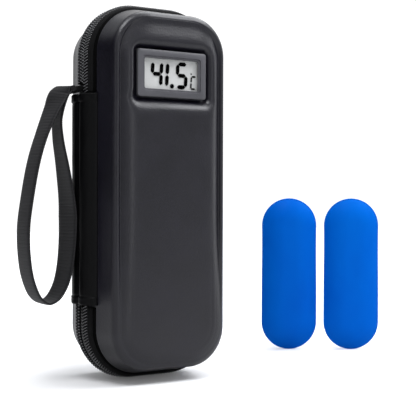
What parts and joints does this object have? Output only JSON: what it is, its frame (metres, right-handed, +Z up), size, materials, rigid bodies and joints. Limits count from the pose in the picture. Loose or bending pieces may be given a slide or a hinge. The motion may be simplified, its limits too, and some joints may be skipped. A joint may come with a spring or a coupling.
{
  "type": "insulin cooling case",
  "caption": "Tall rounded clamshell travel case with zip, wrist strap and thermometer display in its lid, with slim gel ice packs standing beside it.",
  "frame": {"origin": "middle of the case's foot, under the parting line of the closed zip", "axes": "+X towards the side that opens, away from the spine; -Y out of the lid's face; +Z up along the case's length"},
  "size_m": [0.2855, 0.0923, 0.2345],
  "materials": {
    "shell_leather": "fine-grained soft matt synthetic leather",
    "lining_foil": "silvery insulating film with a fine weave",
    "tape_weave": "fine woven zip tape",
    "coil_plastic": "dark moulded coil",
    "strap_webbing": "flat woven webbing with fine cross ribs",
    "inner_knit": "dark knitted lining",
    "elastic": "ribbed elastic",
    "housing_plastic": "grey moulded plastic with a satin face",
    "clear_lens": "clear flat lens",
    "lcd_glass": "pale grey liquid crystal panel",
    "black_rubber": "matt",
    "board_green": "solder mask",
    "dark_plastic": "satin",
    "plated_steel": "plated",
    "zip_metal": "dark lacquered die cast metal",
    "pack_blue": "satin film over gel"
  },
  "bodies": {
    "rear_half": {"rear_shell": "shell_leather", "rear_lining": "lining_foil", "rear_zip_tape": "tape_weave", "rear_zip_coil": "coil_plastic", "spine_cover": "shell_leather", "strap_tab": "strap_webbing", "pen_board": "inner_knit", "pen_band_lower": "elastic", "pen_band_upper": "elastic"},
    "lid": {"lid_shell": "shell_leather", "lid_lining": "lining_foil", "lid_zip_tape": "tape_weave", "lid_zip_coil": "coil_plastic", "pack_sleeve": "inner_knit", "sleeve_binding": "elastic", "display_housing": "housing_plastic", "display_lens": "clear_lens", "lcd_panel": "lcd_glass", "rubber_connector": "black_rubber", "circuit_board": "board_green", "driver_chip": "dark_plastic", "cell_contact_left": "plated_steel", "cell_contact_right": "plated_steel", "button_cell_left": "plated_steel", "button_cell_right": "plated_steel", "housing_back": "dark_plastic", "temperature_probe": "dark_plastic"},
    "battery_door": {"battery_door": "dark_plastic"},
    "strap": {"wrist_strap": "strap_webbing"},
    "slider_upper": {"upper_slider": "zip_metal"},
    "slider_lower": {"lower_slider": "zip_metal"},
    "pull_upper": {"upper_pull": "zip_metal"},
    "pull_lower": {"lower_pull": "zip_metal"},
    "pack_near": {"ice_pack_near": "pack_blue"},
    "pack_far": {"ice_pack_far": "pack_blue"}
  },
  "joints": [
    {"name": "lid_hinge", "type": "hinge", "parent": "rear_half", "child": "lid", "pos_m": [-0.0485, 0, 0.11725], "axis": [0, 0, -1], "range_deg": [0, 105], "deforming": ["spine_cover"]},
    {"name": "battery_door_slide", "type": "slide", "parent": "lid", "child": "battery_door", "axis": [0, 0, -1], "range_m": [0, 0.012]},
    {"name": "strap_swing", "type": "hinge", "parent": "rear_half", "child": "strap", "pos_m": [-0.05225, 0.0108, 0.1798], "axis": [0, 1, 0], "range_deg": [0, 100]},
    {"name": "upper_slider_travel", "type": "slide", "parent": "rear_half", "child": "slider_upper", "axis": [0, 0, 1], "range_m": [0, 0.055]},
    {"name": "lower_slider_travel", "type": "slide", "parent": "rear_half", "child": "slider_lower", "axis": [0, 0, -1], "range_m": [0, 0.075]},
    {"name": "upper_pull_swing", "type": "hinge", "parent": "slider_upper", "child": "pull_upper", "pos_m": [0.05085, 0, 0.13917], "axis": [0, -1, 0], "range_deg": [0, 150]},
    {"name": "lower_pull_swing", "type": "hinge", "parent": "slider_lower", "child": "pull_lower", "pos_m": [0.05085, 0, 0.11757], "axis": [0, -1, 0], "range_deg": [0, 100]},
    {"name": "near_pack_lift", "type": "slide", "parent": "rear_half", "child": "pack_near", "axis": [0, 0, 1], "range_m": [0, 0.12]},
    {"name": "far_pack_lift", "type": "slide", "parent": "rear_half", "child": "pack_far", "axis": [0, 0, 1], "range_m": [0, 0.12]}
  ]
}
